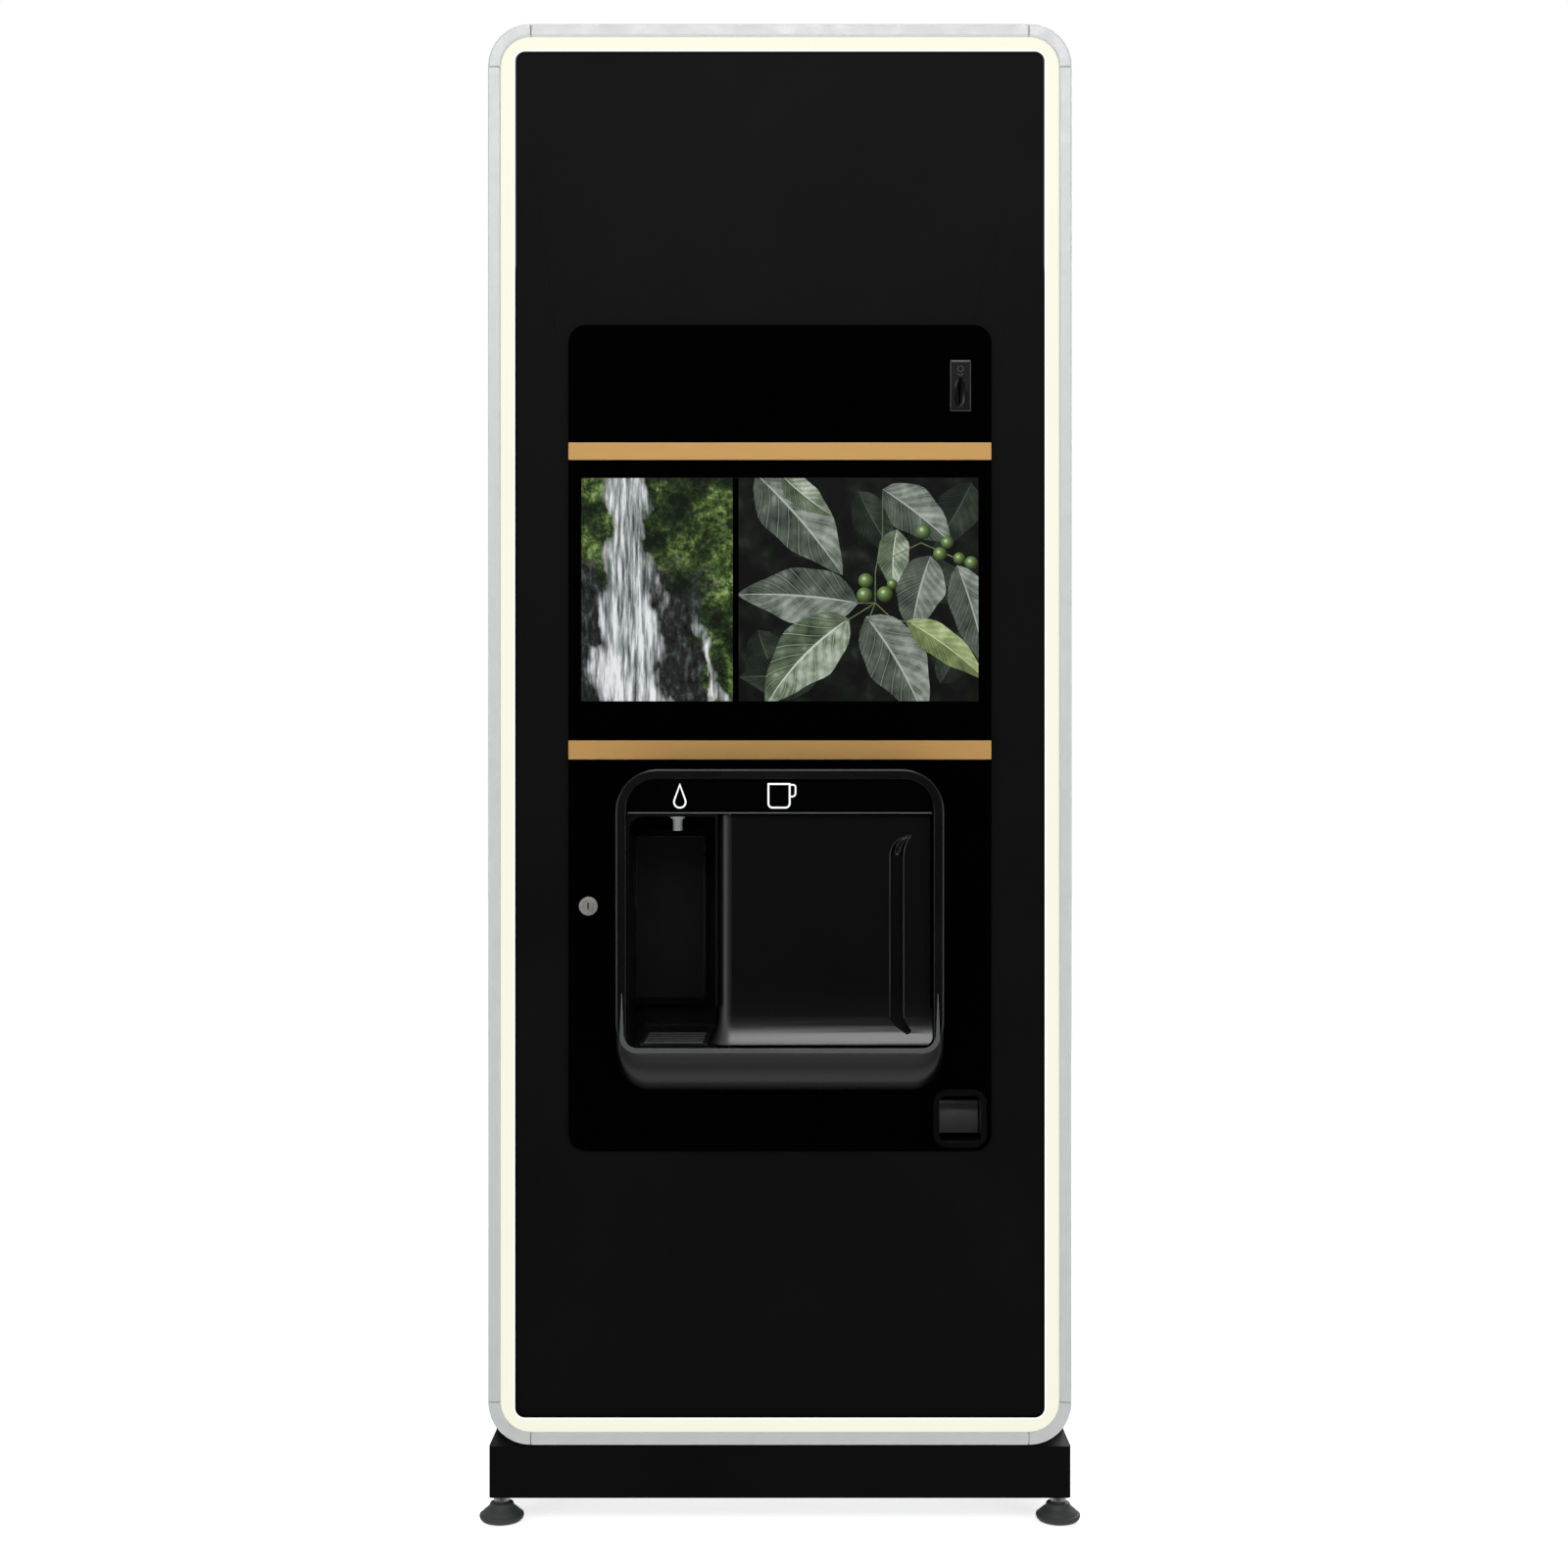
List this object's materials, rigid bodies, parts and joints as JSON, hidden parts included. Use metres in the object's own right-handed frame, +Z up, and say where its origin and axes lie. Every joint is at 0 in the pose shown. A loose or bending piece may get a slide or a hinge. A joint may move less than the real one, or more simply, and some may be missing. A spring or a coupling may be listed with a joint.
{
  "type": "hot coffee vending machine",
  "caption": "Free-standing hot drink vending machine with a full-height glazed door, framed light strip, lit display, delivery bay with swing door, coin slot and coin return on levelling feet.",
  "frame": {"origin": "centre of the bounding box's bottom face, on the floor", "axes": "+X to the right seen from the front, +Y to the back, +Z up; the front faces -Y"},
  "size_m": [0.7364, 0.76, 1.83],
  "materials": {
    "silver_frame": "satin anodised silver",
    "black_steel": "fine-textured matte black powder coat",
    "galvanised": "bare zinc-coated sheet",
    "fascia_glass": "gloss back-painted black",
    "screen": "lit display behind gloss glass",
    "light_strip": "opal diffuser lit warm white",
    "gold_trim": "brushed gold",
    "black_plastic": "fine spark-eroded texture",
    "gloss_black": "polished",
    "chrome": "polished",
    "nickel": "satin nickel plate",
    "rubber": "matte",
    "smoked_plastic": "tinted, slightly glossy",
    "ivory_plastic": "moulded, satin",
    "grey_plastic": "moulded, matte"
  },
  "bodies": {
    "cabinet": {"left_side_panel": "black_steel", "right_side_panel": "black_steel", "top_cover": "black_steel", "back_panel": "galvanised", "cabinet_floor": "galvanised", "plinth": "black_steel", "hinge_bracket_lower": "galvanised", "hinge_bracket_upper": "galvanised", "mains_inlet": "black_plastic", "water_inlet": "nickel", "upper_shelf": "galvanised", "brew_deck": "galvanised", "cup_turret_base": "grey_plastic", "cup_chute": "grey_plastic", "bean_hopper": "smoked_plastic", "coffee_grinder": "black_plastic", "brew_unit": "grey_plastic", "boiler": "chrome", "water_pump": "nickel", "control_box": "grey_plastic", "canister_left": "ivory_plastic", "canister_right": "ivory_plastic", "mixer_left": "grey_plastic", "mixer_right": "grey_plastic", "waste_bucket": "grey_plastic"},
    "service_door": {"frame_right": "silver_frame", "frame_left": "silver_frame", "frame_top": "silver_frame", "frame_bottom": "silver_frame", "frame_corner_top_right": "silver_frame", "frame_corner_bottom_right": "silver_frame", "frame_corner_bottom_left": "silver_frame", "frame_corner_top_left": "silver_frame", "light_diffuser": "light_strip", "door_panel": "black_steel", "door_liner": "galvanised", "fascia_glass": "fascia_glass", "upper_trim": "gold_trim", "lower_trim": "gold_trim", "display_module": "screen", "bay_bezel": "black_plastic", "bay_housing": "black_plastic", "header_panel": "gloss_black", "water_spout": "chrome", "coin_plate": "black_plastic", "coin_changer": "black_plastic", "cash_box": "galvanised", "coin_return_cup": "black_plastic", "lock_housing": "nickel"},
    "foot_front_left": {"levelling_foot_front_left": "rubber"},
    "foot_front_right": {"levelling_foot_front_right": "rubber"},
    "foot_rear_left": {"levelling_foot_rear_left": "rubber"},
    "foot_rear_right": {"levelling_foot_rear_right": "rubber"},
    "lid": {"hopper_lid": "black_plastic"},
    "turret": {"cup_turret": "ivory_plastic"},
    "piston": {"brew_piston": "chrome"},
    "delivery_door": {"delivery_door": "black_plastic"},
    "return_flap": {"coin_flap": "black_plastic"},
    "key_plug": {"lock_plug": "nickel"},
    "grille": {"drip_grille": "black_plastic"}
  },
  "joints": [
    {"name": "service_door_hinge", "type": "hinge", "parent": "cabinet", "child": "service_door", "pos_m": [0.35, -0.271, 0.9], "axis": [0, 0, 1], "range_deg": [0, 100]},
    {"name": "delivery_door_hinge", "type": "hinge", "parent": "service_door", "child": "delivery_door", "pos_m": [-0.062, -0.355, 0.72], "axis": [0, 0, -1], "range_deg": [0, 95]},
    {"name": "return_flap_hinge", "type": "hinge", "parent": "service_door", "child": "return_flap", "pos_m": [0.2195, -0.3, 0.511], "axis": [1, 0, 0], "range_deg": [0, 45]},
    {"name": "lock_turn", "type": "hinge", "parent": "service_door", "child": "key_plug", "pos_m": [-0.2333, -0.3, 0.7542], "axis": [0, -1, 0], "range_deg": [0, 90]},
    {"name": "grille_lift", "type": "slide", "parent": "service_door", "child": "grille", "axis": [0, 0, 1], "range_m": [0, 0.04]},
    {"name": "hopper_lid_hinge", "type": "hinge", "parent": "cabinet", "child": "lid", "pos_m": [0.005, 0.113, 1.6103], "axis": [-1, 0, 0], "range_deg": [0, 75]},
    {"name": "turret_turn", "type": "hinge", "parent": "cabinet", "child": "turret", "pos_m": [-0.232, 0.04, 1.3], "axis": [0, 0, 1], "continuous": true},
    {"name": "piston_slide", "type": "slide", "parent": "cabinet", "child": "piston", "axis": [0, 0, 1], "range_m": [0, 0.04]},
    {"name": "foot_front_left_turn", "type": "hinge", "parent": "cabinet", "child": "foot_front_left", "pos_m": [-0.341, -0.319, 0], "axis": [0, 0, 1], "continuous": true},
    {"name": "foot_front_right_turn", "type": "hinge", "parent": "cabinet", "child": "foot_front_right", "pos_m": [0.341, -0.319, 0], "axis": [0, 0, 1], "continuous": true},
    {"name": "foot_rear_left_turn", "type": "hinge", "parent": "cabinet", "child": "foot_rear_left", "pos_m": [-0.341, 0.345, 0], "axis": [0, 0, 1], "continuous": true},
    {"name": "foot_rear_right_turn", "type": "hinge", "parent": "cabinet", "child": "foot_rear_right", "pos_m": [0.341, 0.345, 0], "axis": [0, 0, 1], "continuous": true}
  ]
}
